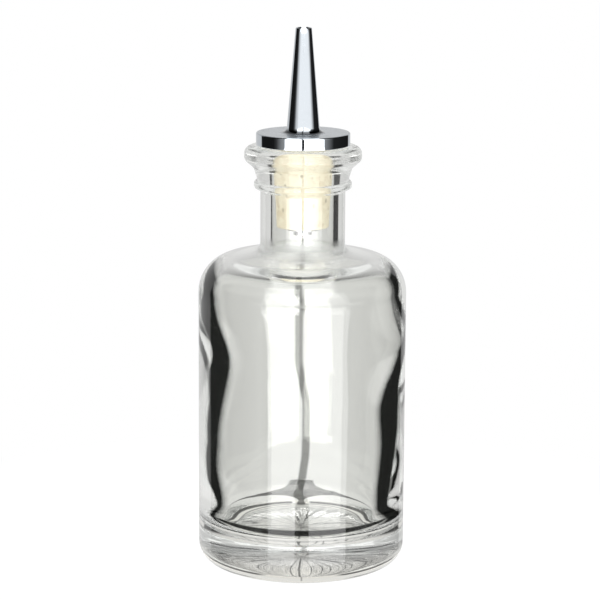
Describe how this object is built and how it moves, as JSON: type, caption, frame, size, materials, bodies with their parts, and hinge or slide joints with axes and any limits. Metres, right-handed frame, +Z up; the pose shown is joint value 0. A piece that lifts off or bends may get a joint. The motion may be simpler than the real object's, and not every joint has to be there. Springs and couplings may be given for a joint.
{
  "type": "bitters bottle",
  "caption": "Clear glass bitters bottle with a thick base and rolled lip, closed by a cork stopper with a chromed cap and a slim tapered spout that lets out dashes.",
  "frame": {"origin": "centre of the bottle's base, on the surface it stands on", "axes": "+Z up along the bottle's axis, through the neck and the spout; the part is round, so +X and +Y are free"},
  "size_m": [0.065, 0.065, 0.1694],
  "materials": {
    "clear_glass": "polished clear flint glass",
    "cap_chrome": "bright chrome plate",
    "core_plastic": "moulded white",
    "spout_chrome": "bright chrome plate",
    "cork": "pale agglomerated cork",
    "tube_steel": "drawn stainless steel",
    "collar_steel": "stamped stainless steel",
    "restrictor_plastic": "moulded natural polyethylene"
  },
  "bodies": {
    "bottle": {"glass_bottle": "clear_glass"},
    "stopper": {"cap_shell": "cap_chrome", "cap_core": "core_plastic", "spout": "spout_chrome", "stopper_cork": "cork", "pour_tube": "tube_steel", "tube_collar": "collar_steel", "restrictor": "restrictor_plastic"}
  },
  "joints": [
    {"name": "stopper_lift", "type": "slide", "parent": "bottle", "child": "stopper", "axis": [0, 0, 1], "range_m": [0, 0.045]}
  ]
}
